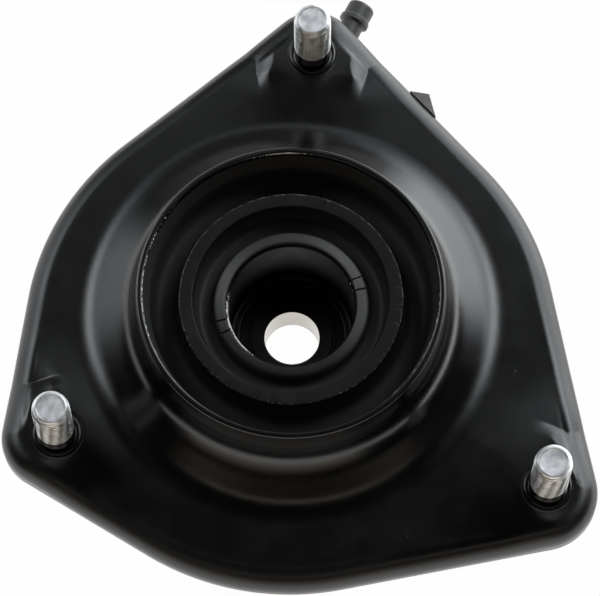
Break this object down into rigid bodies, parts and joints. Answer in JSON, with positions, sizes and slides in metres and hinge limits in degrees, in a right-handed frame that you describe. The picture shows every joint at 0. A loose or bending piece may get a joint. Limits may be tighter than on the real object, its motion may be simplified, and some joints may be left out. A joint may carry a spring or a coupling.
{
  "type": "strut mount",
  "caption": "Strut top mount: pressed steel plate with threaded studs, bonded rubber insulator and a sleeve with a sealed ball bearing for the strut rod.",
  "frame": {"origin": "on the strut rod's axis, in the plane of the stud pads that seat against the body's strut tower", "axes": "+Z along the rod axis towards the studs' tips, +Y towards the corner between the other two, +X to the right seen from the stud side"},
  "size_m": [0.1567, 0.1728, 0.0539],
  "materials": {
    "black_coat": "smooth black electro-coat, half gloss",
    "zinc": "bright zinc plate",
    "rubber": "moulded black rubber",
    "sleeve_coat": "dark phosphate",
    "bearing_steel": "ground steel",
    "ball_steel": "polished steel",
    "cage_steel": "pressed steel",
    "seal_rubber": "smooth black seal",
    "spring_steel": "oiled spring steel",
    "clip_plastic": "dark grey moulded plastic"
  },
  "bodies": {
    "mount": {"mounting_plate": "black_coat", "mounting_studs": "zinc", "rubber_insulator": "rubber", "bearing_sleeve": "sleeve_coat", "bearing_outer_race": "bearing_steel", "seal_upper": "seal_rubber", "seal_lower": "seal_rubber", "retaining_ring": "spring_steel", "loom_clip": "clip_plastic"},
    "rod_race": {"bearing_inner_race": "bearing_steel"},
    "ball_set": {"bearing_balls": "ball_steel", "cage_upper": "cage_steel", "cage_lower": "cage_steel", "cage_rivets": "cage_steel"}
  },
  "joints": [
    {"name": "rod_turn", "type": "hinge", "parent": "mount", "child": "rod_race", "pos_m": [0, 0, -0.0235], "axis": [0, 0, 1], "continuous": true},
    {"name": "ball_turn", "type": "hinge", "parent": "mount", "child": "ball_set", "pos_m": [0, 0, -0.0235], "axis": [0, 0, 1], "continuous": true}
  ],
  "couplings": [
    {"joint": "ball_turn", "follows": "rod_turn", "ratio": 0.381}
  ]
}
